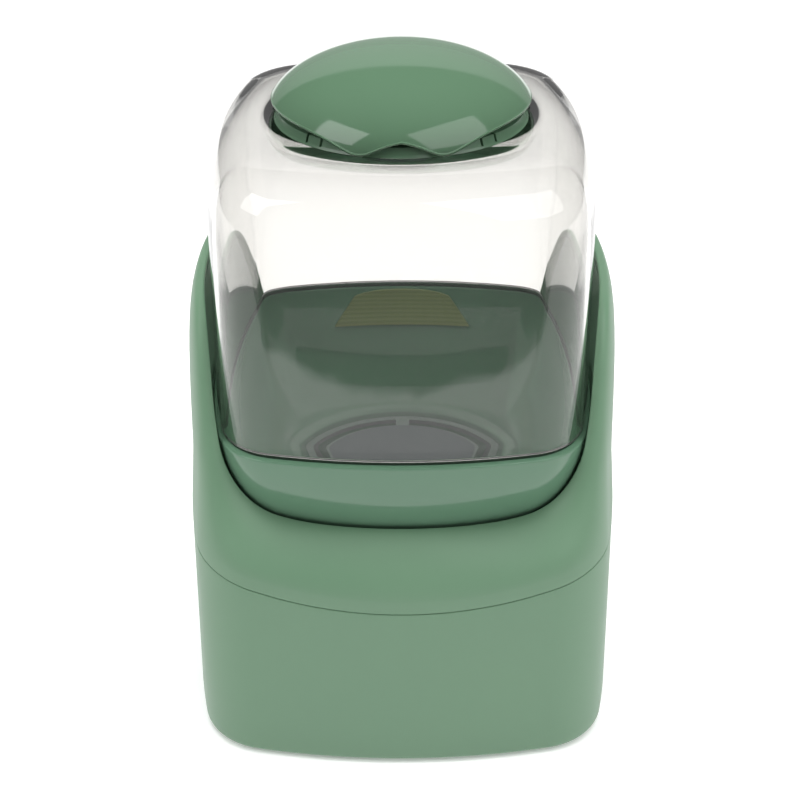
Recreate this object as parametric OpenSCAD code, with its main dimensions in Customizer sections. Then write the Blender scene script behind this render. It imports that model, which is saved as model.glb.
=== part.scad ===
// Counter-top disinfecting jar: a clear rounded-square dome on a round-bottomed
// bowl, held between the raised sides of a two-part moulded stand.
// Origin at the middle of the footprint on the counter, +Z up, front towards -Y.

/* [Stand] */
// Half width of the stand
stand_a = 74.2; // [74:0.2:78]
// Depth of the stand over its width
stand_ratio = 1.1; // [1.1:0.005:1.14]
// How far each side of the stand bows out
stand_bow = 4.8; // [4:0.1:7]
// Corner radius of the stand
stand_corner = 24.6; // [20:0.2:28]
// Height of the seam at the middle of the front
seam_z = 60.2; // [58:0.1:63]
// Rise of the seam from the front to the sides
seam_rise = 13; // [8:0.5:14]
// Height of the side arms
arm_z = 151; // [146:1:158]
// Height of the shelf's inner edge at the front
shelf_front_z = 84; // [81:1:88]
// Height of the shelf's inner edge at the back
shelf_back_z = 94; // [88:1:98]
// Wall of the moulded stand
shell_t = 2.4; // [2:0.1:3]

/* [Bowl] */
// Half width of the bowl at its rim
bowl_a = 65; // [64:0.5:66]
// Depth of the bowl and dome over their width
jar_ratio = 1.125; // [1.09:0.005:1.13]
// How far each side of the bowl bows out
jar_bow = 4.2; // [3:0.1:6]
// Corner radius of the bowl and dome
jar_corner = 21; // [16:1:26]
// Height of the bowl's rim
rim_z = 110; // [108:0.2:111]
// Height of the round edge where the bowl's inside meets its floor
floor_z = 73; // [72:0.5:75]
// Radius of that round edge
floor_r = 40.7; // [40:0.1:42]
// Underside of the liquid well
well_z = 54; // [52:1:58]

/* [Dome] */
// Half width of the dome at its foot
dome_a = 64; // [63.5:0.5:64]
// Foot of the dome
dome_z = 111.4; // [111:0.2:112]
// Height where the shoulder starts
shoulder_z = 166; // [160:1:172]
// Roundness of the shoulder, 2 for a quarter ellipse
shoulder_power = 3.8; // [2.2:0.1:4.2]
// Height of the mouth
mouth_z = 202; // [200:0.5:204]
// Rise of the dome's top above the mouth
crown = 2.8; // [0:0.1:4]
// Radius of the mouth
mouth_r = 40.9; // [40.5:0.1:42]
// Wall of the dome
dome_t = 2.2; // [1.8:0.1:2.6]

/* [Lid] */
// Radius of the cap where it would meet the mouth plane
cap_r = 44.8; // [43.5:0.1:46]
// Height of the cap above that plane
cap_h = 23.2; // [20:0.5:26]
// Wall of the cap
cap_t = 2; // [1.6:0.1:2.4]
// Height of the cap's edge at the sides above the mouth
cap_side = 7; // [6.8:0.1:9]
// How far the two lobes at the front and back hang down from there
cap_lobe = 5.8; // [3:0.1:6]

/* [Hidden] */
$fn = 96;

seg = 72;                              // points round every lofted ring
rim_grow = 1.3;                        // from the bowl's side to the arms' inner walls
gap = 0.9;                             // the jar's clearance in the stand
foot_h = 1;
base_z = foot_h;                       // underside of the lower housing
arm_shift = 3;                         // the arms stand this many degrees behind the middle
front_spread = 41.3;                   // angle from its middle at which an arm is half its height
front_power = 10;                      // steepness of its edge
back_spread = 38.7;
back_power = 5.7;
arm_lean = 1.5;                        // how far the outer wall leans in above the shelf
lean_low = 68;
lean_high = 100;
shoulder_h = 4.5;                      // upright band between the seam and the shelf
shelf_power = 1.5;                     // roundness of the shelf's section at the front
arm_square = 2.5;                      // how much squarer the section is over an arm
arm_fade = 38;                         // angle from the side at which that has half gone
well_r = 36.4;                         // inside of the liquid well
well_wall = 2.4;
seat_z = floor_z - 4.6;                // ledge under the strainer plate
seat_r = 39;
under_z = seat_z - well_wall;          // bottom of the bowl's sloping wall
under_r = 43.2;
crown_power = 1.5;                     // how fast the dome dips round its mouth
bowl_power = 1.75;                     // roundness of the bowl's side in section
bowl_lip = 4;                          // width of the flat rim that the dome stands on
liner_t = 2;
pad_h = 1.5;
plate_t = 1.6;                         // strainer plate
liner_floor_z = well_z - pad_h;
liner_r = well_r + well_wall + 2.4;    // inside of the liner's round pocket
liner_top = 107;                       // the liner ends below the dome's foot
lining_z = liner_top + 0.6;            // and the arms' linings go on from there
lining_half = 41.5;                     // degrees either side of an arm's middle
pillar_x = 63.2;
pillar_y = 43;
pillar_z = 64;
pillar_r = 4.2;
screw_r = 1.5;
screw_fit = 0.06;
head_r = 2.9;
head_h = 2.2;
screw_seat_z = pillar_z - 7;           // where a screw head bears inside its pillar
screw_l = 17;
boss_h = 16;                           // height of the pillar above the seam
collar_r = mouth_r - 0.35;
collar_t = 2.2;
plug_r = collar_r - collar_t - 1.6;

green = "#6f9a78";
green_dark = "#5b8265";

// Angle folded into one eighth of a turn
function fold(t) = let (q = t - 90 * floor(t / 90)) min(q, 90 - q);

// Polar radius of a square of half width a whose sides bow out by bow, with round corners
function bow_r(t, a, bow, corner) =
    let (
        q = fold(t),
        k = a - bow - corner,
        big = (k * k + bow * bow) / (2 * bow),
        off = big - k - bow,
        turn = atan2(k, big - bow),
        join = atan2(k + corner * sin(turn), k + corner * cos(turn))
    )
    q < join
        ? sqrt(pow(big + corner, 2) - pow(off * sin(q), 2)) - off * cos(q)
        : k * (cos(q) + sin(q)) + sqrt(max(0, corner * corner - k * k * (1 - sin(2 * q))));

function stand_r(t, inset) = bow_r(t, stand_a - inset, stand_bow, stand_corner - inset);
function jar_r(t, a) = bow_r(t, a, jar_bow, jar_corner);
function polar(t, r, ratio, z) = [r * cos(t), ratio * r * sin(t), z];
function angles() = [for (i = [0:seg - 1]) i * 360 / seg];
function round_ring(r, z) = [for (t = angles()) [r * cos(t), r * sin(t), z]];

// The seam is lowest at the front and back and rises to the sides
function seam_at(t) = seam_z + seam_rise * pow(stand_r(t, 0) * cos(t) / stand_a, 2);

// Height of the shelf's inner edge: high between the arms, low at the front and back
function side_angle(t) =
    let (q = t - 360 * floor(t / 360))
    q < 90 || q > 270
        ? abs((q > 180 ? q - 360 : q) - arm_shift)
        : abs(q - 180 + arm_shift);
function edge_z(t) =
    let (low = sin(t) < 0 ? shelf_front_z : shelf_back_z - (shelf_back_z - shelf_front_z) * pow(cos(t), 2))
    let (front = sin(t) < sin(arm_shift))
    low + (arm_z - low) / (1 + pow(side_angle(t) / (front ? front_spread : back_spread),
                                   front ? front_power : back_power));

// Share of the way from the bowl's round bottom to its rim, by height
function bowl_share(z) =
    let (s = max(0, min(1, (z - under_z) / (rim_z - under_z))))
    pow(max(0, 1 - pow(1 - s, bowl_power)), 1 / bowl_power);

// A point on the outside of the bowl and dome together, grown by grow
function jar_point(t, z, grow) =
    let (f = bowl_share(z), rim = jar_r(t, bowl_a) + grow, round = under_r + grow)
    [((1 - f) * round + f * rim) * cos(t), ((1 - f) * round + f * rim * jar_ratio) * sin(t), z];

// Skins a stack of rings: closed at both ends, or joined end to end as a wall
module loft(rings, ring_wall = false) {
    n = len(rings[0]);
    m = len(rings);
    last = ring_wall ? m - 1 : m - 2;
    sides = [
        for (j = [0:last], i = [0:n - 1])
            let (k = (j + 1) % m, i2 = (i + 1) % n)
                each [[j * n + i, k * n + i, k * n + i2], [j * n + i, k * n + i2, j * n + i2]]
    ];
    ends = ring_wall ? [] : [[for (i = [0:n - 1]) i], [for (i = [n - 1:-1:0]) (m - 1) * n + i]];
    polyhedron(points = [for (r = rings) each r], faces = concat(sides, ends), convexity = 8);
}

module at_pillars() {
    for (sx = [-1, 1], sy = [-1, 1])
        translate([sx * pillar_x, sy * pillar_y, 0])
            children();
}

// Vertical ring of the stand, share 0 at the bottom edge and 1 at the seam
function stand_ring(inset, low, share) = [
    for (t = angles())
        polar(t, stand_r(t, inset), stand_ratio, low + share * (seam_at(t) - 0.2 - low))
];

module lower_housing() {
    edge = 1.8;                        // rounded bottom edge
    rounding = [for (a = [0:30:90]) [edge * (1 - sin(a)), base_z + edge * (1 - cos(a))]];
    outer = concat(
        [for (p = rounding) stand_ring(p[0], p[1], 0)],
        [for (s = [0.5, 1]) stand_ring(0, base_z + edge, s)]
    );
    inner = [for (s = [1, 0.5, 0]) stand_ring(shell_t, base_z + shell_t + 1, s)];
    color(green)
    difference() {
        union() {
            loft(concat(outer, inner));
            at_pillars() translate([0, 0, base_z + 0.5]) cylinder(r = pillar_r, h = pillar_z - base_z - 0.5);
        }
        at_pillars() {
            translate([0, 0, base_z - 1]) cylinder(r = head_r + 0.5, h = screw_seat_z - base_z + 1);
            cylinder(r = screw_r + 0.3, h = pillar_z + 1);
        }
        at_feet() translate([0, 0, base_z - 1]) cylinder(r = 8.2, h = 1.8);
    }
}

// Outer section of the upper housing at angle t, from the seam (0) to the inner edge (90)
function shelf_point(t, turn, inset) =
    let (
        edge = edge_z(t),
        top = jar_point(t, edge, rim_grow),
        n = shelf_power + arm_square / (1 + pow(side_angle(t) / arm_fade, 6)),
        start = seam_at(t) + shoulder_h,
        c = pow(cos(turn), 2 / n),
        s = pow(sin(turn), 2 / n),
        up = max(0, min(1, (start + (edge - start) * s - lean_low) / (lean_high - lean_low))),
        out = polar(t, stand_r(t, arm_lean * up * up * (3 - 2 * up)), stand_ratio, 0),
        thin = inset / norm([out[0], out[1]])
    )
    [
        (top[0] + (out[0] - top[0]) * c) - out[0] * thin * c,
        (top[1] + (out[1] - top[1]) * c) - out[1] * thin * c,
        start + (edge - start) * s - inset * (0.35 + 0.65 * s)
    ];

module upper_housing() {
    turns = [0, 12, 24, 36, 48, 58, 68, 77, 84, 90];
    lip_in = shell_t + 0.25;
    lip_t = 1.6;
    lip_h = 4;
    seam_wall = [for (t = angles()) polar(t, stand_r(t, 0), stand_ratio, seam_at(t) + 0.2)];
    outer = [for (a = turns) [for (t = angles()) shelf_point(t, a, 0)]];
    inner = [for (i = [len(turns) - 1:-1:0]) [for (t = angles()) shelf_point(t, turns[i], shell_t)]];
    lip = [
        for (p = [[lip_in + lip_t, 0.2], [lip_in + lip_t, -lip_h], [lip_in, -lip_h], [lip_in, 0.2]])
            [for (t = angles()) polar(t, stand_r(t, p[0]), stand_ratio, seam_at(t) + p[1])]
    ];
    color(green)
    difference() {
        union() {
            loft(concat([seam_wall], outer, inner, lip), ring_wall = true);
            at_pillars() translate([0, 0, pillar_z + 0.3]) cylinder(r = pillar_r, h = boss_h);
        }
        at_pillars() translate([0, 0, pillar_z]) cylinder(r = screw_r + screw_fit, h = 14);
    }
}

// Top of the walls that line the cradle, just under the upper housing's inner edge
function lining_top(t) = edge_z(t) - shell_t - 1;

module cradle_liner() {
    low = under_z - 1;
    shares = [0.01, 0.04, 0.09, 0.17, 0.28, 0.42, 0.58, 0.78];
    function height(t, share) = low + share * (min(liner_top, lining_top(t)) - low);
    function ring(share, grow) = [
        for (t = angles())
            let (z = height(t, share), p = jar_point(t, z + 1, grow)) [p[0], p[1], z]
    ];
    outer = [
        round_ring(liner_r + liner_t, liner_floor_z - liner_t),
        round_ring(liner_r + liner_t, low - liner_t),
        round_ring(under_r + gap + liner_t, low - liner_t)
    ];
    inner = [round_ring(liner_r, low), round_ring(liner_r, liner_floor_z)];
    up = [for (h = shares) ring(h, gap + liner_t)];
    down = [for (i = [len(shares) - 1:-1:0]) ring(shares[i], gap)];
    color(green_dark) loft(concat(outer, up, [ring(1, gap + 0.8), ring(1, gap)], down, inner));
}

// Upright inner walls of the two arms, from the liner's top to the arms' inner edge
module arm_linings() {
    cols = 20;
    function corner(t, z, grow) = let (p = jar_point(t, z, grow)) [p[0], p[1], z];
    color(green_dark)
    for (middle = [arm_shift, 180 - arm_shift])
        loft([
            for (i = [0:cols])
                let (t = middle + lining_half * (-1 + 2 * i / cols), top = lining_top(t))
                    [
                        corner(t, lining_z, rim_grow), corner(t, top, rim_grow),
                        corner(t, top, rim_grow + 0.8), corner(t, lining_z, rim_grow + liner_t)
                    ]
        ]);
}

module at_feet() {
    for (sx = [-1, 1], sy = [-1, 1])
        translate([sx * 50, sy * 54, 0])
            children();
}

module rubber_feet() {
    color("#3c403d")
    at_feet() rotate_extrude() polygon([[0, 0], [7.2, 0], [8, 0.8], [8, base_z + 0.8], [0, base_z + 0.8]]);
}

module housing_screws() {
    color("silver")
    at_pillars()
        translate([0, 0, screw_seat_z - head_h]) {
            cylinder(r = head_r, h = head_h);
            cylinder(r = screw_r, h = head_h + screw_l);
        }
}

module seat_pads() {
    color("#2f3331")
    for (i = [0:3]) rotate(45 + 90 * i) translate([28, 0, liner_floor_z]) cylinder(r = 5, h = pad_h);
}

module bowl() {
    outer = [
        for (s = [0, 0.05, 0.13, 0.24, 0.37, 0.52, 0.68, 0.84, 0.96, 1])
            [for (t = angles()) jar_point(t, under_z + s * (rim_z - under_z), s == 1 ? -0.5 : 0)]
    ];
    inner = [
        for (s = [1, 0.86, 0.7, 0.54, 0.4, 0.27, 0.16, 0.07]) [for (t = angles()) bowl_inside(t, s, 0)]
    ];
    color(green)
    difference() {
        union() {
            loft(concat(outer, inner, [round_ring(floor_r, floor_z)]));
            translate([0, 0, well_z]) cylinder(r = well_r + well_wall, h = under_z - well_z + 1);
        }
        translate([0, 0, seat_z]) cylinder(r = seat_r, h = 20);
        translate([0, 0, well_z + well_wall]) cylinder(r = well_r, h = 40);
    }
}

module strainer_plate() {
    slot_in = 31.5;
    slot_out = 35.9;
    drain_r = 3.1;
    bridge = 8;                        // degrees between one slot and the next
    color("#6d7672")
    difference() {
        translate([0, 0, seat_z]) cylinder(r = seat_r - 0.4, h = plate_t);
        for (i = [0:3])
            rotate(90 * i + bridge / 2)
                rotate_extrude(angle = 90 - bridge)
                    translate([slot_in, seat_z - 1]) square([slot_out - slot_in, plate_t + 2]);
        translate([0, 0, seat_z - 1]) cylinder(r = drain_r, h = plate_t + 2);
    }
}

module strainer_mat() {
    color("#565c59")
    translate([0, 0, seat_z + plate_t])
        rotate_extrude()
            polygon([[4.5, 0], [30, 0], [30, 0.5], [29.4, 1.1], [5.1, 1.1], [4.5, 0.5]]);
}

module rim_gasket() {
    color("#2c3a31")
    loft([
        for (p = [[0.9, rim_z], [0.9, dome_z], [dome_t + 0.5, dome_z], [dome_t + 0.5, rim_z]])
            [for (t = angles()) polar(t, jar_r(t, dome_a) - p[0], jar_ratio, p[1])]
    ], ring_wall = true);
}

// A point on the bowl's inside, s from 0 at the floor to 1 at the rim, lifted off the wall
function bowl_inside(t, s, lift) =
    let (
        z = floor_z + s * (rim_z - floor_z),
        f = pow(1 - pow(1 - s, bowl_power), 1 / bowl_power),
        rim = jar_r(t, bowl_a) - bowl_lip - lift,
        round = floor_r - lift
    )
    [((1 - f) * round + f * rim) * cos(t), ((1 - f) * round + f * rim * jar_ratio) * sin(t), z];

module blank_label() {
    cols = 12;
    rows = 5;
    half = 24;                         // degrees either side of the back
    foot = 0.62;                       // where the straight edge lies, as a share of the wall's height
    top = 0.98;
    grid = [
        for (side = [0.35, 0.85], j = [0:rows], i = [0:cols])
            let (u = -1 + 2 * i / cols, arch = 0.45 + 0.55 * pow(1 - pow(abs(u), 2.6), 0.4))
                bowl_inside(90 + half * u * (1 - 0.18 * j / rows), foot + (top - foot) * arch * j / rows, side)
    ];
    row = cols + 1;
    layer = row * (rows + 1);
    function quad(a, b, c, d) = [[a, b, c], [a, c, d]];
    faces = concat(
        [for (j = [0:rows - 1], i = [0:cols - 1])
            let (a = j * row + i) each quad(a, a + 1, a + row + 1, a + row)],
        [for (j = [0:rows - 1], i = [0:cols - 1])
            let (a = layer + j * row + i) each quad(a, a + row, a + row + 1, a + 1)],
        [for (i = [0:cols - 1]) each quad(i, layer + i, layer + i + 1, i + 1)],
        [for (i = [0:cols - 1])
            let (a = rows * row + i) each quad(a, a + 1, layer + a + 1, layer + a)],
        [for (j = [0:rows - 1])
            let (a = j * row) each quad(a, a + row, layer + a + row, layer + a)],
        [for (j = [0:rows - 1])
            let (a = j * row + cols) each quad(a, layer + a, layer + a + row, a + row)]
    );
    color("#8f8b3f") polyhedron(points = grid, faces = faces, convexity = 4);
}

// Ring of the dome, turn 0 where the shoulder starts and 90 at the mouth
function shoulder_ring(turn, wall) =
    let (c = pow(cos(turn), 2 / shoulder_power), s = pow(sin(turn), 2 / shoulder_power))
    [
        for (t = angles())
            let (r = jar_r(t, dome_a) - wall)
                [((1 - c) * mouth_r + c * r) * cos(t), ((1 - c) * mouth_r + c * r * jar_ratio) * sin(t),
                 shoulder_z + s * (mouth_z + crown - wall - shoulder_z) - crown * pow(1 - c, crown_power)]
    ];

module dome() {
    turns = [0, 10, 20, 30, 39, 47, 55, 66, 75.5, 82.5, 87.2, 89.5, 90];
    side = [0, 0.35, 0.7];
    outer = concat(
        [for (h = side) [for (t = angles())
            polar(t, jar_r(t, dome_a), jar_ratio, dome_z + h * (shoulder_z - dome_z))]],
        [for (a = turns) shoulder_ring(a, 0)]
    );
    inner = concat(
        [for (i = [len(turns) - 1:-1:0]) shoulder_ring(turns[i], dome_t)],
        [for (i = [len(side) - 1:-1:0]) [for (t = angles())
            polar(t, jar_r(t, dome_a) - dome_t, jar_ratio, dome_z + side[i] * (shoulder_z - dome_z))]]
    );
    color("#e4e8e6", 0.3) loft(concat(outer, inner), ring_wall = true);
}

module mouth_collar() {
    top = mouth_z + 3.4;
    tab_w = 6;
    slit = 0.9;
    skirt = dome_t;                    // depth of the collar inside the mouth
    bead = 1.2;                        // lip that rests on the dome
    color(green_dark)
    difference() {
        rotate_extrude()
            polygon([
                [collar_r - collar_t, mouth_z - skirt], [collar_r, mouth_z - skirt],
                [collar_r, mouth_z + 0.3], [collar_r + bead, mouth_z + 0.3],
                [collar_r + bead - 0.4, mouth_z + 1.1], [collar_r, top], [collar_r - collar_t, top]
            ]);
        for (a = [48, 132, 228, 312], e = [-1, 1])
            rotate(a)
                translate([collar_r - collar_t - 1, e * tab_w / 2 - slit / 2, mouth_z + 0.9])
                    cube([collar_t + 4, slit, 10]);
    }
}

module lid_plug() {
    wall = 1.8;
    foot = mouth_z - 1.5;
    top = mouth_z + cap_h * 0.42;
    color(green_dark)
    difference() {
        translate([0, 0, foot]) cylinder(r = plug_r, h = top - foot);
        translate([0, 0, foot + wall]) cylinder(r = plug_r - wall, h = top);
    }
}

module lid_seal() {
    color("#2f3331")
    rotate_extrude()
        polygon([
            [plug_r, mouth_z - 0.2], [plug_r + 1.1, mouth_z + 0.5], [plug_r + 1.1, mouth_z + 1.5],
            [plug_r, mouth_z + 2.2]
        ]);
}

// Height of the cap's lower edge: two hanging lobes with a finger notch between, front and back
function lobe(away) = 1 / (1 + pow((away - 17.5) / (away < 17.5 ? 10.5 : 13.5), 2));
function cap_edge(t) = mouth_z + cap_side - cap_lobe * lobe(abs(90 - (t - 180 * floor(t / 180))));

module lid_cap() {
    steps = 9;
    function ring(j, wall) = [
        for (t = angles())
            let (
                low = asin(min(1, (cap_edge(t) - mouth_z) / (cap_h - wall))),
                a = low + (87 - low) * j / steps
            )
                [(cap_r - wall) * cos(a) * cos(t), (cap_r - wall) * cos(a) * sin(t),
                 mouth_z + (cap_h - wall) * sin(a)]
    ];
    color(green)
    loft(concat([for (j = [steps:-1:0]) ring(j, cap_t)], [for (j = [0:steps]) ring(j, 0)]));
}

lower_housing();
upper_housing();
cradle_liner();
arm_linings();
housing_screws();
rubber_feet();
seat_pads();
bowl();
strainer_plate();
strainer_mat();
rim_gasket();
blank_label();
dome();
mouth_collar();
lid_plug();
lid_seal();
lid_cap();
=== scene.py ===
import bpy
import math
import numpy as np
from mathutils import Euler, Matrix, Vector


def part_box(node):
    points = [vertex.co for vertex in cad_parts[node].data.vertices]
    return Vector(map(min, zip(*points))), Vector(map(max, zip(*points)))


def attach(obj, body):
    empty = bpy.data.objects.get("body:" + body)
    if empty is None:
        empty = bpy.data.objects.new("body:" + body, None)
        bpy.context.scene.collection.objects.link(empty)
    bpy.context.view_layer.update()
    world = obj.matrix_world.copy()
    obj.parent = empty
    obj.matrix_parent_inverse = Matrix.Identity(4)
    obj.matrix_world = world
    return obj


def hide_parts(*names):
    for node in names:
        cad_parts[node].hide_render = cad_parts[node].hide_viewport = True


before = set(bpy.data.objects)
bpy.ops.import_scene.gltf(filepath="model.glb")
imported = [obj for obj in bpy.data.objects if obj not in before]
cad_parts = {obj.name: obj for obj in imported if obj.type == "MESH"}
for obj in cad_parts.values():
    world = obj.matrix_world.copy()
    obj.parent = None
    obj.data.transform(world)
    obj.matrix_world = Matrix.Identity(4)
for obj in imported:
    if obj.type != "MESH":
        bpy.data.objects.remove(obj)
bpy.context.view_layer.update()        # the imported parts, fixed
mm = 0.001
around = np.linspace(0, 2 * np.pi, 481)[:-1]   # angles round every moulded shell, from +X


def linear(hexColour):
    # sRGB hex to linear light
    parts = [int(hexColour[i:i + 2], 16) / 255 for i in (1, 3, 5)]
    return tuple(p / 12.92 if p <= 0.04045 else ((p + 0.055) / 1.055) ** 2.4 for p in parts) + (1.0,)


def addNode(tree, kind, inputs=None, **settings):
    # one node with its settings; an input is a plain value or another node's output
    node = tree.nodes.new(kind)
    for name, value in settings.items():
        setattr(node, name, value)
    for socket, value in (inputs or {}).items():
        if isinstance(value, bpy.types.NodeSocket):
            tree.links.new(value, node.inputs[socket])
        else:
            node.inputs[socket].default_value = value
    return node


def newMaterial(name):
    # an empty node material
    material = bpy.data.materials.new(name)
    material.use_nodes = True
    material.node_tree.nodes.clear()
    return material, material.node_tree


def finishMaterial(tree, surface):
    addNode(tree, "ShaderNodeOutputMaterial", {"Surface": surface})


# metres, radians and millimetres of lens; down is the tilt below level
cameraSettings = {"distance": 0.600, "height": 0.4091, "down": 0.4803, "lens": 86.04, "roll": -0.0034,
                  "shiftX": -0.0028}
cameraData = bpy.data.cameras.new("camera")
cameraData.lens = cameraSettings["lens"]
cameraData.sensor_width = 36
cameraData.shift_x = cameraSettings["shiftX"]
camera = bpy.data.objects.new("camera", cameraData)
camera.location = (0, -cameraSettings["distance"], cameraSettings["height"])
tilt = Euler((math.pi / 2 - cameraSettings["down"], 0, 0)).to_matrix()
camera.rotation_euler = (tilt @ Matrix.Rotation(cameraSettings["roll"], 3, "Z")).to_euler()
bpy.context.scene.collection.objects.link(camera)
bpy.context.scene.camera = camera
print("camera set")


def bowedRadius(angle, half, bow, corner):
    # polar radius of a square whose sides are arcs and whose corners are smaller arcs:
    # the angle is folded into an eighth, then a ray meets the side's circle or the corner's circle
    folded = np.mod(angle, np.pi / 2)
    folded = np.minimum(folded, np.pi / 2 - folded)
    k = half - bow - corner
    big = (k * k + bow * bow) / (2 * bow)
    off = big - k - bow
    turn = np.arctan2(k, big - bow)
    join = np.arctan2(k + corner * np.sin(turn), k + corner * np.cos(turn))
    side = np.sqrt((big + corner) ** 2 - (off * np.sin(folded)) ** 2) - off * np.cos(folded)
    spread = np.maximum(corner ** 2 - k * k * (1 - np.sin(2 * folded)), 0)
    return np.where(folded < join, side, k * (np.cos(folded) + np.sin(folded)) + np.sqrt(spread))


def ring(radius, ratio, height):
    # closed ring from a polar radius; ratio stretches it from front to back
    height = height + 0 * around
    radius = radius + 0 * around
    return np.stack([radius * np.cos(around), ratio * radius * np.sin(around), height], axis=1)


def roundRing(radius, height):
    # the same with a circle's radius
    return ring(radius, 1, height)


def roundCorners(section, steps=6, loop=True):
    # a section is (ring, corner radius) pairs; a corner with a radius becomes a quadratic curve
    # that starts and ends that far from it
    result = []
    count = len(section)
    for i, (here, radius) in enumerate(section):
        if not radius or (not loop and i in (0, count - 1)):
            result.append(here)
            continue
        before, after = section[i - 1][0] - here, section[(i + 1) % count][0] - here
        start = here + before / np.linalg.norm(before, axis=1, keepdims=True) * radius
        end = here + after / np.linalg.norm(after, axis=1, keepdims=True) * radius
        for u in np.linspace(0, 1, steps):
            result.append((1 - u) ** 2 * start + 2 * u * (1 - u) * here + u * u * end)
    return np.array(result)


def shell(rings, loop=True):
    # points and faces of a closed shell: quads between neighbouring rings, which go round in a loop
    # or are an open stack with a fan at each end
    m, n = rings.shape[:2]
    points = rings.reshape(-1, 3)
    i = np.arange(n)
    j = np.arange(m if loop else m - 1)[:, None]
    after = (i + 1) % n
    quads = [j * n + i, j * n + after, (j + 1) % m * n + after, (j + 1) % m * n + i]
    faces = [np.stack(quads, axis=-1).reshape(-1, 4)]
    if not loop:
        points = np.vstack([points, rings[0].mean(0), rings[-1].mean(0)])
        low, high = np.full(n, m * n), np.full(n, m * n + 1)
        lowFan = np.stack([low, after, i], axis=1)
        highFan = np.stack([high, (m - 1) * n + i, (m - 1) * n + after], axis=1)
        faces += [lowFan, highFan]
    return points, faces


def skin(name, shells, smooth=True):
    # one piece from one or more closed shells
    points = np.vstack([shellPoints for shellPoints, _ in shells])
    faces = []
    start = 0
    for shellPoints, blocks in shells:
        for block in blocks:
            faces += (block + start).tolist()
        start += len(shellPoints)
    mesh = bpy.data.meshes.new(name)
    mesh.from_pydata(points.tolist(), [], faces)
    mesh.polygons.foreach_set("use_smooth", np.full(len(mesh.polygons), smooth))
    mesh.update()
    piece = bpy.data.objects.new(name, mesh)
    bpy.context.scene.collection.objects.link(piece)
    return piece


def dress(piece, node, body, material):
    # finish a piece: its material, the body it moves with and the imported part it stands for
    piece.data.materials.append(material)
    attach(piece, body)
    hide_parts(node)
    return piece


def mouldedPlastic(name, look):
    # injection-moulded ABS: even colour with faint cloudy flow, a fine grained skin and rare dust specks
    material, tree = newMaterial(name)
    where = addNode(tree, "ShaderNodeTexCoord").outputs["Object"]
    cloud = addNode(tree, "ShaderNodeTexNoise", {"Vector": where, "Scale": 1 / (look["cloudMm"] * mm),
                                                 "Detail": 3.0, "Roughness": 0.5})
    tint = addNode(tree, "ShaderNodeMix", {0: cloud.outputs["Fac"], 6: linear(look["dark"]),
                                           7: linear(look["light"])}, data_type="RGBA")
    cells = addNode(tree, "ShaderNodeTexVoronoi", {"Vector": where, "Scale": 1 / (look["speckGapMm"] * mm)})
    speck = addNode(tree, "ShaderNodeMapRange", {
        "Value": cells.outputs["Distance"], "From Min": look["speckCore"], "From Max": look["speckEdge"],
        "To Min": 1.0, "To Max": 0.0})
    rare = addNode(tree, "ShaderNodeSeparateColor", {"Color": cells.outputs["Color"]})
    chosen = addNode(tree, "ShaderNodeMath", {0: rare.outputs[0], 1: look["speckRare"]},
                     operation="GREATER_THAN")
    dusty = addNode(tree, "ShaderNodeMath", {0: speck.outputs[0], 1: chosen.outputs[0]}, operation="MULTIPLY")
    colour = addNode(tree, "ShaderNodeMix", {0: dusty.outputs[0], 6: tint.outputs[2],
                                             7: linear(look["speck"])}, data_type="RGBA")
    grain = addNode(tree, "ShaderNodeTexNoise", {"Vector": where, "Scale": 1 / (look["grainMm"] * mm),
                                                 "Detail": 2.0, "Roughness": 0.6})
    skinBump = addNode(tree, "ShaderNodeBump", {"Height": grain.outputs["Fac"], "Strength": look["bump"],
                                                "Distance": look["grainDepthMm"] * mm})
    wear = addNode(tree, "ShaderNodeMapRange", {
        "Value": cloud.outputs["Fac"], "From Min": 0.3, "From Max": 0.7,
        "To Min": look["rough"] - look["wear"], "To Max": look["rough"] + look["wear"]})
    surface = addNode(tree, "ShaderNodeBsdfPrincipled", {
        "Base Color": colour.outputs[2], "Roughness": wear.outputs[0], "Normal": skinBump.outputs[0],
        "IOR": look["ior"]})
    finishMaterial(tree, surface.outputs[0])
    return material


# speckCore and speckEdge are shares of the gap between specks, speckRare the share of places left clean
housingLook = {"dark": "#63856a", "light": "#688a6e", "speck": "#4d6650", "cloudMm": 40, "speckGapMm": 22,
               "speckCore": 0.012, "speckEdge": 0.03, "speckRare": 0.62, "grainMm": 0.8, "grainDepthMm": 0.05,
               "bump": 0.12, "rough": 0.46, "wear": 0.03, "ior": 1.53}
bowlLook = dict(housingLook, dark="#5a7b64", light="#5e7f68", rough=0.09, bump=0.02)
capLook = dict(housingLook, dark="#4f6c54", light="#537058", rough=0.08, bump=0.02)
collarLook = dict(housingLook, dark="#5a7a60", light="#5f8065", rough=0.24, bump=0.04)
# the linings' sage is the housing's sage made darker: painted shade for the liner and arm linings down in the
# gap round the jar
linerLook = dict(housingLook, dark="#587560", light="#5e7b65", rough=0.5)
housingAbs = mouldedPlastic("satin moulded ABS, sage", housingLook)
bowlAbs = mouldedPlastic("semi-gloss moulded ABS, sage", bowlLook)
capAbs = mouldedPlastic("polished moulded ABS, sage", capLook)
collarAbs = mouldedPlastic("semi-gloss moulded ABS, deep sage", collarLook)
linerAbs = mouldedPlastic("satin moulded ABS, sage darkened as painted shade", linerLook)


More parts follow.
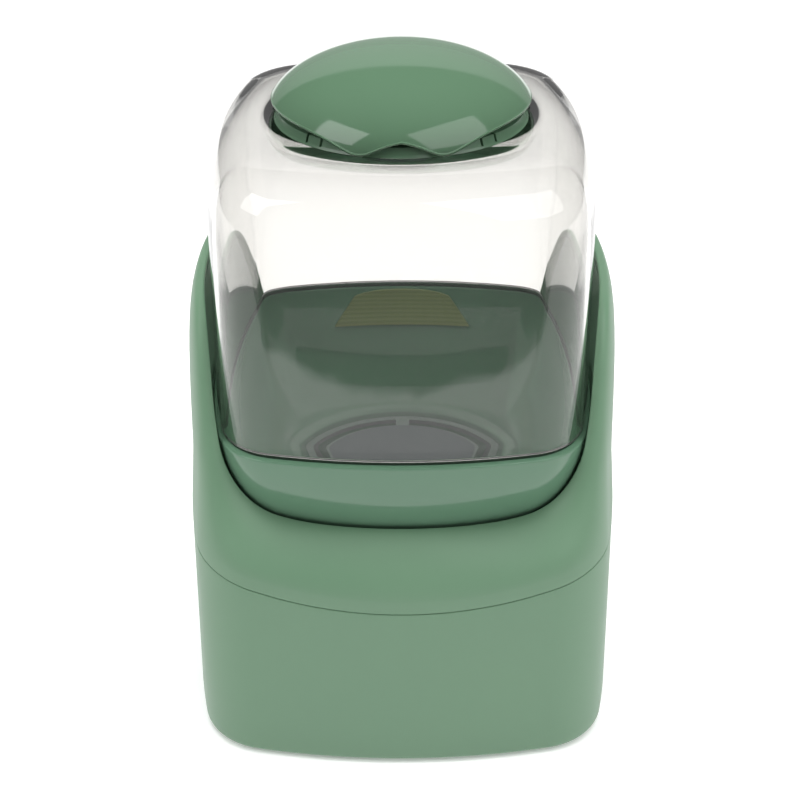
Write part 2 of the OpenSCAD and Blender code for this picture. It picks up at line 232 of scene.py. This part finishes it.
def clearPlastic(name, look):
    # injection-moulded SAN: clear, faintly smoky, polished; lamps reach what is behind it
    material, tree = newMaterial(name)
    where = addNode(tree, "ShaderNodeTexCoord").outputs["Object"]
    waves = addNode(tree, "ShaderNodeTexNoise", {"Vector": where, "Scale": 1 / (look["waveMm"] * mm),
                                                 "Detail": 1.0})
    bump = addNode(tree, "ShaderNodeBump", {"Height": waves.outputs["Fac"], "Strength": look["wave"],
                                            "Distance": look["waveDepthMm"] * mm})
    smears = addNode(tree, "ShaderNodeTexNoise", {"Vector": where, "Scale": 1 / (look["smearMm"] * mm),
                                                  "Detail": 4.0})
    rough = addNode(tree, "ShaderNodeMapRange", {
        "Value": smears.outputs["Fac"], "From Min": 0.45, "From Max": 0.75,
        "To Min": look["rough"], "To Max": look["rough"] + look["smear"]})
    facing = addNode(tree, "ShaderNodeLayerWeight", {"Blend": look["edgeBlend"]})
    tint = addNode(tree, "ShaderNodeMix", {0: facing.outputs["Facing"], 6: linear(look["tint"]),
                                           7: linear(look["edge"])}, data_type="RGBA")
    glass = addNode(tree, "ShaderNodeBsdfPrincipled", {
        "Base Color": tint.outputs[2], "Roughness": rough.outputs[0], "IOR": look["ior"],
        "Transmission Weight": 1.0, "Normal": bump.outputs[0]})
    lampPath = addNode(tree, "ShaderNodeBsdfTransparent", {"Color": linear(look["shade"])})
    path = addNode(tree, "ShaderNodeLightPath")
    mixed = addNode(tree, "ShaderNodeMixShader", {0: path.outputs["Is Shadow Ray"], 1: glass.outputs[0],
                                                  2: lampPath.outputs[0]})
    finishMaterial(tree, mixed.outputs[0])
    return material


domeLook = {"tint": "#f3f2f0", "edge": "#d2d1cd", "edgeBlend": 0.35, "shade": "#f2f3f2", "rough": 0.0,
            "ior": 1.5, "waveMm": 35, "wave": 0.06, "waveDepthMm": 0.1, "smearMm": 18, "smear": 0.03}
clearSan = clearPlastic("clear moulded SAN, faintly smoky", domeLook)


def softRubber(name, look):
    # moulded elastomer: dull, with a fine powdery grain
    material, tree = newMaterial(name)
    where = addNode(tree, "ShaderNodeTexCoord").outputs["Object"]
    grain = addNode(tree, "ShaderNodeTexNoise", {"Vector": where, "Scale": 1 / (look["grainMm"] * mm),
                                                 "Detail": 3.0})
    tint = addNode(tree, "ShaderNodeMix", {0: grain.outputs["Fac"], 6: linear(look["dark"]),
                                           7: linear(look["light"])}, data_type="RGBA")
    bump = addNode(tree, "ShaderNodeBump", {"Height": grain.outputs["Fac"], "Strength": look["bump"],
                                            "Distance": look["grainDepthMm"] * mm})
    surface = addNode(tree, "ShaderNodeBsdfPrincipled", {
        "Base Color": tint.outputs[2], "Roughness": look["rough"], "Normal": bump.outputs[0],
        "IOR": look["ior"]})
    finishMaterial(tree, surface.outputs[0])
    return material


sealLook = {"dark": "#233228", "light": "#2e3f33", "grainMm": 1.2, "grainDepthMm": 0.05, "bump": 0.2,
            "rough": 0.55, "ior": 1.45}
footLook = dict(sealLook, dark="#262826", light="#323432", grainMm=1.0, rough=0.7)
matLook = dict(sealLook, dark="#454b4e", light="#505658", grainMm=1.5, rough=0.45)
plateLook = dict(housingLook, dark="#58645d", light="#616d66", speck="#4d5751", rough=0.34, bump=0.06)
sealRubber = softRubber("moulded silicone, dark green", sealLook)
footRubber = softRubber("moulded rubber, charcoal", footLook)
matRubber = softRubber("moulded elastomer, slate grey", matLook)
plateAbs = mouldedPlastic("satin moulded ABS, grey green", plateLook)


def plainLabel(name, look):
    # printed film: dull olive ground with fine level rules, no lettering
    material, tree = newMaterial(name)
    where = addNode(tree, "ShaderNodeTexCoord").outputs["Object"]
    lines = addNode(tree, "ShaderNodeTexWave", {
        "Vector": where, "Scale": 2 / (look["ruleMm"] * mm * math.tau), "Distortion": look["waver"]},
        wave_type="BANDS", bands_direction="Z")
    colour = addNode(tree, "ShaderNodeMix", {0: lines.outputs["Fac"], 6: linear(look["ground"]),
                                             7: linear(look["rule"])}, data_type="RGBA")
    surface = addNode(tree, "ShaderNodeBsdfPrincipled", {
        "Base Color": colour.outputs[2], "Roughness": look["rough"], "IOR": look["ior"]})
    finishMaterial(tree, surface.outputs[0])
    return material


labelLook = {"ground": "#7f8a5c", "rule": "#737f55", "ruleMm": 1.6, "waver": 0.3, "rough": 0.42, "ior": 1.46}
labelFilm = plainLabel("printed film, plain ruled olive", labelLook)


def platedSteel(name, look):
    # zinc-plated steel: bright grey, its polish broken up by a fine grain
    material, tree = newMaterial(name)
    where = addNode(tree, "ShaderNodeTexCoord").outputs["Object"]
    grain = addNode(tree, "ShaderNodeTexNoise", {"Vector": where, "Scale": 1 / (look["grainMm"] * mm),
                                                 "Detail": 2.0})
    rough = addNode(tree, "ShaderNodeMapRange", {"Value": grain.outputs["Fac"], "To Min": look["polished"],
                                                 "To Max": look["dull"]})
    surface = addNode(tree, "ShaderNodeBsdfPrincipled", {
        "Base Color": linear(look["colour"]), "Metallic": 1.0, "Roughness": rough.outputs[0]})
    finishMaterial(tree, surface.outputs[0])
    return material


screwLook = {"colour": "#b9bab6", "grainMm": 0.5, "polished": 0.25, "dull": 0.4}
screwSteel = platedSteel("zinc-plated steel, turned", screwLook)
print("materials made")


standLow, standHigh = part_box("lower_housing")
# gap is the clear way round the bowl, edgeGap what the housing's edge adds to it;
# arms and shelf are the edge's highest and lowest places, spreads are half the arms' widths as angles
stand = {"half": standHigh.x, "ratio": standHigh.y / standHigh.x, "bow": 4.8 * mm, "corner": 24.6 * mm,
         "floor": standLow.z, "wall": 2.4 * mm, "footInset": 8 * mm, "wallStart": 6 * mm, "wallStop": 3 * mm,
         "seamFront": 60.2 * mm, "seamRise": 13 * mm, "seamGap": 0.06 * mm, "seamEdge": 0.45 * mm,
         "bottomEdge": 2.4 * mm, "insideEdge": 1.5 * mm, "armTop": 151 * mm, "armShift": math.radians(3),
         "frontSpread": math.radians(41.3), "frontPower": 10, "backSpread": math.radians(38.7),
         "backPower": 5.7, "lean": 1.5 * mm, "leanLow": 68 * mm, "leanHigh": 100 * mm,
         "shelfFront": 84 * mm, "shelfBack": 94 * mm, "shelfPower": 1.5, "armSquare": 2.5,
         "armFade": math.radians(38), "armFadePower": 6, "shoulder": 4.5 * mm,
         "gap": 0.9 * mm, "edgeGap": 0.4 * mm}


def standRadius(inset):
    # the stand's outline, moved inwards by the inset
    return bowedRadius(around, stand["half"] - inset, stand["bow"], stand["corner"] - inset)


def standRing(inset, height):
    return ring(standRadius(inset), stand["ratio"], height)


# the seam is lowest at the front and back, and rises with the square of the way out to the sides
seamHeight = stand["seamFront"] + stand["seamRise"] * (standRadius(0) * np.cos(around) / stand["half"]) ** 2


def lowerHousing():
    # tub: flat underside, outer wall up to the wavy seam, inner wall back down to the flat floor
    wall, floor, inset = stand["wall"], stand["floor"], stand["footInset"]
    seam = seamHeight - stand["seamGap"]
    start = floor + stand["wallStart"]

    def level(share):
        return start + share * (seam - stand["wallStop"] - start)

    section = [(standRing(inset, floor), 0), (standRing(0, floor), stand["bottomEdge"])]
    section += [(standRing(0, level(share)), 0) for share in np.linspace(0, 1, 12)]
    section += [(standRing(0, seam), stand["seamEdge"]), (standRing(wall, seam), stand["seamEdge"])]
    section += [(standRing(wall, level(share)), 0) for share in (1, 0.5, 0)]
    section += [(standRing(wall, floor + wall), stand["insideEdge"])]
    section += [(standRing(wall + inset, floor + wall), 0)]
    return skin("lower_shell", [shell(roundCorners(section, loop=False), loop=False)])


# jar: what the bowl and the dome share
bowlLow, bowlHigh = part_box("bowl")
domeLow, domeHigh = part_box("dome")
jar = {"rimHalf": bowlHigh.x, "ratio": bowlHigh.y / bowlHigh.x, "bow": 4.2 * mm, "corner": 21 * mm,
       "rim": bowlHigh.z, "under": 66 * mm, "underRadius": 43.2 * mm, "power": 1.75,
       "mouth": 202 * mm, "footHalf": domeHigh.x}


def jarRadius(half):
    return bowedRadius(around, half, jar["bow"], jar["corner"])


def bowlSpread(share):
    # how far the section has spread from round to square: one minus a power curve, then its root
    return (1 - (1 - share) ** jar["power"]) ** (1 / jar["power"])


def blendRing(spreadShare, roundRadius, rimRadius, height):
    # between a circle and the bowed square, share 0 to 1
    x = ((1 - spreadShare) * roundRadius + spreadShare * rimRadius) * np.cos(around)
    y = ((1 - spreadShare) * roundRadius + spreadShare * rimRadius * jar["ratio"]) * np.sin(around)
    return np.stack([x, y, height + 0 * around], axis=1)


def jarRing(height, grow):
    # outside of the bowl and dome together at a height, which may change round the ring
    share = np.clip((height - jar["under"]) / (jar["rim"] - jar["under"]), 0, 1)
    return blendRing(bowlSpread(share), jar["underRadius"] + grow, jarRadius(jar["rimHalf"]) + grow, height)


# distance from the side, as an angle, to the middle of the nearer arm
sideAngle = np.arctan2(np.sin(around), np.abs(np.cos(around)))
fromSide = np.abs(sideAngle - stand["armShift"])
backLow = stand["shelfBack"] - (stand["shelfBack"] - stand["shelfFront"]) * np.cos(around) ** 2
edgeLow = np.where(np.sin(around) < 0, stand["shelfFront"], backLow)
inFront = np.sin(around) < math.sin(stand["armShift"])
armSpread = np.where(inFront, stand["frontSpread"], stand["backSpread"])
steepness = np.where(inFront, stand["frontPower"], stand["backPower"])
edgeHeight = edgeLow + (stand["armTop"] - edgeLow) / (1 + (fromSide / armSpread) ** steepness)


def shelfRing(turn):
    # from the seam wall (turn 0) to the inner edge (turn 90 degrees) along a superellipse,
    # rounder over the arms and flatter along the front
    square = stand["armSquare"] / (1 + (fromSide / stand["armFade"]) ** stand["armFadePower"])
    power = stand["shelfPower"] + square
    c = (np.cos(turn) ** (2 / power))[:, None]
    s = np.sin(turn) ** (2 / power)
    start = seamHeight + stand["shoulder"]
    height = start + (edgeHeight - start) * s
    up = np.clip((height - stand["leanLow"]) / (stand["leanHigh"] - stand["leanLow"]), 0, 1)
    outer = ring(standRadius(stand["lean"] * up * up * (3 - 2 * up)), stand["ratio"], 0)
    inner = jarRing(edgeHeight, stand["gap"] + stand["edgeGap"])
    result = inner + (outer - inner) * c
    result[:, 2] = height
    return result


def sink(rings, depth):
    # the inner face of a wall: each ring moved inwards and down along the section's normal
    along = np.gradient(rings, axis=0)
    flat = np.linalg.norm(rings[..., :2], axis=-1, keepdims=True)
    outward = rings[..., :2] / flat
    run = (along[..., :2] * outward).sum(-1)
    rise = along[..., 2]
    length = np.hypot(run, rise) + 1e-9
    result = rings.copy()
    result[..., :2] -= outward * (rise / length)[..., None] * depth
    result[..., 2] += run / length * depth
    return result


def upperHousing():
    # the shelf's section from the seam to the inner edge, a wall thick, and back down inside;
    # the last few inner rings are left out, so that the sunk face can't cross the edge
    wall = stand["wall"]
    skipped = 9
    foot = seamHeight + stand["seamGap"]
    turns = np.radians(np.concatenate([np.linspace(0, 80, 40), np.linspace(82, 89, 8)]))
    outer = np.array([shelfRing(turn) for turn in turns])
    inner = sink(outer, wall)[::-1][skipped:]
    edge = shelfRing(math.radians(90))
    edgeUnder = edge - np.array([0, 0, wall])
    section = [(standRing(0, foot), stand["seamEdge"])] + [(line, 0) for line in outer]
    section += [(edge, 0), (edgeUnder, 0)] + [(line, 0) for line in inner] + [(standRing(wall, foot), 0)]
    return skin("upper_shell", [shell(roundCorners(section))])


# the liner under the bowl and the upright linings of the arms; drop and topGap keep them off the housing
liner = {"wall": 2 * mm, "lip": 0.8 * mm, "top": 107 * mm, "topGap": stand["wall"] + 1 * mm, "drop": 1 * mm,
         "floor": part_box("cradle_liner")[0].z, "pocketGap": 4.8 * mm, "armHalf": math.radians(41.5),
         "armFoot": 0.6 * mm, "armLip": 0.8 * mm}
bowl = {"floor": 73 * mm, "floorRadius": 40.7 * mm, "lip": 4 * mm, "seat": 68.4 * mm, "seatRadius": 39 * mm,
        "wellRadius": 36.4 * mm, "well": bowlLow.z, "wall": 2.4 * mm, "wellMiddle": 0.5, "rimBand": 1.2 * mm,
        "floorStep": 1.2 * mm, "crowd": 1.3, "outEdge": 1.5 * mm, "turnEdge": 0.8 * mm, "rimOut": 0.7 * mm,
        "rimIn": 0.5 * mm, "floorEdge": 0.6 * mm, "seatEdge": 0.2 * mm, "ledgeEdge": 0.4 * mm,
        "wellEdge": 2 * mm}


def cradleLiner():
    # cup that follows the jar's outside a gap away, a wall thick, with a round pocket for the well
    low = jar["under"] - liner["drop"]
    under = low - liner["wall"]
    tops = np.minimum(liner["top"], edgeHeight - liner["topGap"])
    pocket = bowl["wellRadius"] + liner["pocketGap"]
    thick = liner["wall"]
    rings = [roundRing(pocket + thick, liner["floor"]), roundRing(pocket + thick, under),
             roundRing(jar["underRadius"] + stand["gap"] + thick, under)]

    def wallRing(share, grow):
        height = low + share * (tops - low)
        result = jarRing(height + liner["drop"], stand["gap"] + grow)
        result[:, 2] = height
        return result

    shares = np.linspace(0.1, 0.95, 24) ** 2
    rings += [wallRing(share, thick) for share in shares]
    rings += [wallRing(1, liner["lip"]), wallRing(1, 0)]
    rings += [wallRing(share, 0) for share in shares[::-1]]
    rings += [roundRing(pocket, low), roundRing(pocket, liner["floor"] + thick)]
    return skin("inner_cradle", [shell(np.array(rings), loop=False)])


def armLinings():
    # upright walls that follow the jar's side, each swept along the outline between two angles
    shells = []
    top = edgeHeight - liner["topGap"]
    foot = liner["top"] + liner["armFoot"] + 0 * around
    grow = stand["gap"] + stand["edgeGap"]
    for middle in (stand["armShift"], np.pi - stand["armShift"]):
        angles = middle + liner["armHalf"] * np.linspace(-1, 1, 81)
        place = np.mod(angles, 2 * np.pi) / (2 * np.pi) * len(around)
        low = np.floor(place).astype(int) % len(around)
        share = (place - np.floor(place))[:, None]

        def along(line):
            return line[low] * (1 - share) + line[(low + 1) % len(around)] * share

        lines = [jarRing(foot, grow), jarRing(top, grow), jarRing(top, grow + liner["armLip"]),
                 jarRing(foot, grow + liner["wall"])]
        shells.append(shell(np.stack([along(line) for line in lines], axis=1), loop=False))
    return skin("arm_linings", shells, smooth=False)


dress(lowerHousing(), "lower_housing", "stand", housingAbs)
dress(upperHousing(), "upper_housing", "stand", housingAbs)
dress(cradleLiner(), "cradle_liner", "stand", linerAbs)
dress(armLinings(), "arm_linings", "stand", linerAbs)
print("stand made")


def bowlShell():
    # outside up from the well, over the flat rim, down the inside to the strainer's seat and the well
    under, rim = jar["under"], jar["rim"]
    outside = bowl["wellRadius"] + bowl["wall"]
    middle = bowl["wellRadius"] * bowl["wellMiddle"]
    inner = jarRadius(jar["rimHalf"]) - bowl["lip"]
    heights = under + (rim - bowl["rimBand"] - under) * np.linspace(0, 1, 40) ** bowl["crowd"]
    shares = np.linspace(0.999, 0.0001, 44)[1:] ** bowl["crowd"]
    section = [(roundRing(middle, bowl["well"]), 0), (roundRing(outside, bowl["well"]), bowl["outEdge"]),
               (roundRing(outside, under), bowl["turnEdge"]), (jarRing(heights[0], 0), bowl["turnEdge"])]
    section += [(jarRing(height, 0), 0) for height in heights[1:]]
    section += [(jarRing(rim, 0), bowl["rimOut"]), (blendRing(1.0, 0, inner, rim), bowl["rimIn"])]
    section += [(blendRing(bowlSpread(share), bowl["floorRadius"], inner,
                           bowl["floor"] + share * (rim - bowl["floor"])), 0) for share in shares]
    section += [(roundRing(bowl["seatRadius"], bowl["floor"] - bowl["floorStep"]), bowl["floorEdge"]),
                (roundRing(bowl["seatRadius"], bowl["seat"]), bowl["seatEdge"]),
                (roundRing(bowl["wellRadius"], bowl["seat"]), bowl["ledgeEdge"]),
                (roundRing(bowl["wellRadius"], bowl["well"] + bowl["wall"]), bowl["wellEdge"]),
                (roundRing(middle, bowl["well"] + bowl["wall"]), 0)]
    return skin("round_bottomed_bowl", [shell(roundCorners(section, loop=False), loop=False)])


# shoulder is where the dome's side ends, crown how far its top dips at the mouth
dome = {"foot": domeLow.z, "wall": 2.2 * mm, "shoulder": 166 * mm, "shoulderPower": 3.8,
        "mouthRadius": 40.9 * mm, "crown": 2.8 * mm, "crownPower": 1.5, "sideStop": 0.96, "crowd": 0.35,
        "footEdge": 0.4 * mm}
gasket = {"inset": 0.9 * mm, "inside": 0.5 * mm, "edge": 0.3 * mm}


def rimGasket():
    # flat square ring between the bowl's rim and the dome's foot
    outer = jarRadius(jar["footHalf"]) - gasket["inset"]
    inner = jarRadius(jar["footHalf"]) - dome["wall"] - gasket["inside"]
    places = [(outer, jar["rim"]), (outer, dome["foot"]), (inner, dome["foot"]), (inner, jar["rim"])]
    section = [(ring(radius, jar["ratio"], height), gasket["edge"]) for radius, height in places]
    return skin("foot_gasket", [shell(roundCorners(section, steps=4))])


dress(bowlShell(), "bowl", "bowl", bowlAbs)
dress(rimGasket(), "rim_gasket", "bowl", sealRubber)
print("bowl made")


def shoulderRing(level, inset):
    # superellipse from the side (level 0) to the mouth (level 1), dipping a little round the mouth
    c = 1 - level
    s = (1 - c ** dome["shoulderPower"]) ** (1 / dome["shoulderPower"])
    top = jar["mouth"] + dome["crown"] - inset - dome["shoulder"]
    height = dome["shoulder"] + s * top - dome["crown"] * (1 - c) ** dome["crownPower"]
    return blendRing(c, dome["mouthRadius"], jarRadius(jar["footHalf"]) - inset, height)


def domeShell():
    # outside up from the foot and over the shoulder to the mouth, then back down inside
    sides = dome["foot"] + np.linspace(0, dome["sideStop"], 12) * (dome["shoulder"] - dome["foot"])
    turns = np.linspace(0, 1, 70)
    levels = 1 - np.cos(turns * np.pi / 2) ** (2 / dome["shoulderPower"] * (1 - dome["crowd"] * turns))
    levels = np.clip(levels, 0, 1)

    def sideRing(height, inset):
        return ring(jarRadius(jar["footHalf"]) - inset, jar["ratio"], height)

    rings = [sideRing(height, 0) for height in sides] + [shoulderRing(level, 0) for level in levels]
    rings += [shoulderRing(level, dome["wall"]) for level in levels[::-1]]
    rings += [sideRing(height, dome["wall"]) for height in sides[::-1]]
    radii = [dome["footEdge"]] + [0] * (len(rings) - 2) + [dome["footEdge"]]
    return skin("clear_dome", [shell(roundCorners(list(zip(rings, radii))))])


dress(domeShell(), "dome", "dome", clearSan)
print("dome made")


# side is the edge's height and lobe how much lower the lobes hang; lobeAt, notch and fade are degrees
cap = {"radius": 44.8 * mm, "height": 23.2 * mm, "wall": 2 * mm, "side": 7 * mm, "lobe": 5.8 * mm,
       "lobeAt": 17.5, "notch": 10.5, "fade": 13.5, "pole": math.radians(89.5), "edge": 0.6 * mm}


def capShell():
    # half an ellipsoid cut along a wavy edge: two lobes with a finger notch between, front and back
    away = np.degrees(np.abs(np.pi / 2 - np.mod(around, np.pi)))
    width = np.where(away < cap["lobeAt"], cap["notch"], cap["fade"])
    edge = cap["side"] - cap["lobe"] / (1 + ((away - cap["lobeAt"]) / width) ** 2)

    def capRing(share, inset):
        low = np.arcsin(np.minimum(edge / (cap["height"] - inset), 1))
        turn = low + (cap["pole"] - low) * share
        return roundRing((cap["radius"] - inset) * np.cos(turn),
                         jar["mouth"] + (cap["height"] - inset) * np.sin(turn))

    shares = np.linspace(0, 1, 60)
    section = [(capRing(share, cap["wall"]), 0 if share else cap["edge"]) for share in shares[::-1]]
    section += [(capRing(share, 0), 0 if share else cap["edge"]) for share in shares]
    return skin("domed_cap", [shell(roundCorners(section, loop=False), loop=False)])


dress(capShell(), "lid_cap", "lid", capAbs)
print("lid made")

# the carried parts keep their shape and get their finish
finishes = {"housing_screws": screwSteel, "rubber_feet": footRubber, "seat_pads": footRubber,
            "strainer_plate": plateAbs, "strainer_mat": matRubber, "blank_label": labelFilm,
            "mouth_collar": collarAbs, "lid_plug": collarAbs, "lid_seal": sealRubber}
for node, material in finishes.items():
    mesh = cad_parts[node].data
    mesh.materials.clear()
    mesh.materials.append(material)


# the white sheet, the backdrop that gloss mirrors, and the soft fill from all round: floor, sheetEnd and
# aimHeight are metres; fillFrom, fillTo and dropEdge say how far a direction points backwards, dropFrom and
# dropTo how far it points up, from -1 to 1; softEdge blurs the sheet's and the backdrop's edge
studio = {"floor": 3.0, "paper": "#f4f4f4", "paperLift": 0.2, "paperInGloss": 1.35, "sheetEnd": -0.31,
          "creaseScale": 14.0, "creaseDepth": 0.05, "fillFront": 0.05, "fillBack": 0.6, "fillFrom": -0.8,
          "fillTo": 0.6, "dropEdge": 0.77, "softEdge": 0.008, "dropFrom": 0.15, "dropTo": 0.65,
          "dropLow": 0.4, "dropHigh": 0.8, "glossDark": 0.1, "glossInside": 0.8, "aimHeight": 0.13}


def mirrorRays(tree, path):
    # 1 for a ray that a glossy face has thrown back, even where it then goes through clear plastic
    back = addNode(tree, "ShaderNodeMath", {0: path.outputs["Glossy Depth"], 1: 0.5},
                   operation="GREATER_THAN")
    return back.outputs[0]


def darkSide(tree, path):
    # what gloss mirrors away from the lamps: dark outside, but a lit room for gloss within the dome
    inside = addNode(tree, "ShaderNodeMath", {0: path.outputs["Transmission Depth"], 1: 0.5},
                     operation="GREATER_THAN")
    level = addNode(tree, "ShaderNodeMix", {0: inside.outputs[0], 2: studio["glossDark"],
                                            3: studio["glossInside"]})
    return level.outputs[0]


def makeFloor():
    # white sheet with a slight glow of its own; gloss sees it bright up to its creased front end
    mesh = bpy.data.meshes.new("floor")
    size = studio["floor"]
    corners = [(-size, -size, 0), (size, -size, 0), (size, size, 0), (-size, size, 0)]
    mesh.from_pydata(corners, [], [(0, 1, 2, 3)])
    floor = bpy.data.objects.new("floor", mesh)
    bpy.context.scene.collection.objects.link(floor)
    material, tree = newMaterial("white studio paper")
    path = addNode(tree, "ShaderNodeLightPath")
    paper = addNode(tree, "ShaderNodeBsdfDiffuse", {"Color": linear(studio["paper"])})
    lift = addNode(tree, "ShaderNodeEmission", {"Strength": studio["paperLift"]})
    bright = addNode(tree, "ShaderNodeAddShader", {0: paper.outputs[0], 1: lift.outputs[0]})
    where = addNode(tree, "ShaderNodeTexCoord").outputs["Object"]
    place = addNode(tree, "ShaderNodeSeparateXYZ", {"Vector": where})
    crease = addNode(tree, "ShaderNodeTexNoise", {"Vector": where, "Scale": studio["creaseScale"],
                                                  "Detail": 3.0})
    ragged = addNode(tree, "ShaderNodeMath", {0: crease.outputs["Fac"], 1: studio["creaseDepth"],
                                              2: place.outputs["Y"]}, operation="MULTIPLY_ADD")
    sheet = addNode(tree, "ShaderNodeMapRange", {
        "Value": ragged.outputs[0], "From Min": studio["sheetEnd"] - studio["softEdge"],
        "From Max": studio["sheetEnd"] + studio["softEdge"], "To Min": darkSide(tree, path),
        "To Max": studio["paperInGloss"]}, interpolation_type="SMOOTHSTEP")
    mirrored = addNode(tree, "ShaderNodeEmission", {"Strength": sheet.outputs[0]})
    surface = addNode(tree, "ShaderNodeMixShader", {0: mirrorRays(tree, path), 1: bright.outputs[0],
                                                    2: mirrored.outputs[0]})
    finishMaterial(tree, surface.outputs[0])
    mesh.materials.append(material)


def softBox(name, azimuth, height, size, glow, mirrored=True, distance=1.1):
    # a lamp with a face of even brightness, aimed at the jar; azimuth 0 is the front, height in degrees
    a, h = math.radians(azimuth), math.radians(height)
    away = np.array([math.sin(a) * math.cos(h), -math.cos(a) * math.cos(h), math.sin(h)])
    data = bpy.data.lights.new(name, "AREA")
    data.shape = "RECTANGLE"
    data.size, data.size_y = size
    data.energy = glow * math.pi * size[0] * size[1]
    light = bpy.data.objects.new(name, data)
    light.location = away * distance + np.array([0, 0, studio["aimHeight"]])
    light.rotation_euler = (math.pi / 2 - h, 0, a)
    light.visible_transmission = False
    light.visible_glossy = mirrored
    bpy.context.scene.collection.objects.link(light)


def studioWorld():
    # white behind, soft and dimmer where it lights the jar, with a bright backdrop for gloss to mirror
    world = bpy.data.worlds.new("studio")
    world.use_nodes = True
    bpy.context.scene.world = world
    tree = world.node_tree
    tree.nodes.clear()
    where = addNode(tree, "ShaderNodeTexCoord").outputs["Generated"]
    split = addNode(tree, "ShaderNodeSeparateXYZ", {"Vector": where})
    path = addNode(tree, "ShaderNodeLightPath")
    fill = addNode(tree, "ShaderNodeMapRange", {
        "Value": split.outputs["Y"], "From Min": studio["fillFrom"], "From Max": studio["fillTo"],
        "To Min": studio["fillFront"], "To Max": studio["fillBack"]})
    seen = addNode(tree, "ShaderNodeMath", {0: 1.0, 1: path.outputs["Is Transmission Ray"]},
                   operation="SUBTRACT")
    fillOnce = addNode(tree, "ShaderNodeMath", {0: fill.outputs[0], 1: seen.outputs[0]}, operation="MULTIPLY")
    rise = addNode(tree, "ShaderNodeMapRange", {
        "Value": split.outputs["Z"], "From Min": studio["dropFrom"], "From Max": studio["dropTo"],
        "To Min": studio["dropLow"], "To Max": studio["dropHigh"]})
    edge = addNode(tree, "ShaderNodeMapRange", {
        "Value": split.outputs["Y"], "From Min": studio["dropEdge"] - studio["softEdge"],
        "From Max": studio["dropEdge"] + studio["softEdge"]})
    gloss = addNode(tree, "ShaderNodeMix", {0: edge.outputs[0], 2: darkSide(tree, path), 3: rise.outputs[0]})
    shown = addNode(tree, "ShaderNodeMix", {0: mirrorRays(tree, path), 2: 1.0, 3: gloss.outputs[0]})
    bounced = addNode(tree, "ShaderNodeMath", {0: path.outputs["Diffuse Depth"], 1: 0.5},
                      operation="GREATER_THAN")
    final = addNode(tree, "ShaderNodeMix", {0: bounced.outputs[0], 2: shown.outputs[0],
                                            3: fillOnce.outputs[0]})
    back = addNode(tree, "ShaderNodeBackground", {"Color": (1, 1, 1, 1), "Strength": final.outputs[0]})
    addNode(tree, "ShaderNodeOutputWorld", {"Surface": back.outputs[0]})


makeFloor()
studioWorld()
softBox("overhead_box", 180, 84, (1.2, 0.9), 4.5, mirrored=False)
softBox("left_box", -60, 38, (0.7, 0.6), 3.2)
softBox("right_box", 50, 40, (1.1, 0.85), 2.1)
bpy.context.scene.view_settings.view_transform = "Standard"
print("studio made")
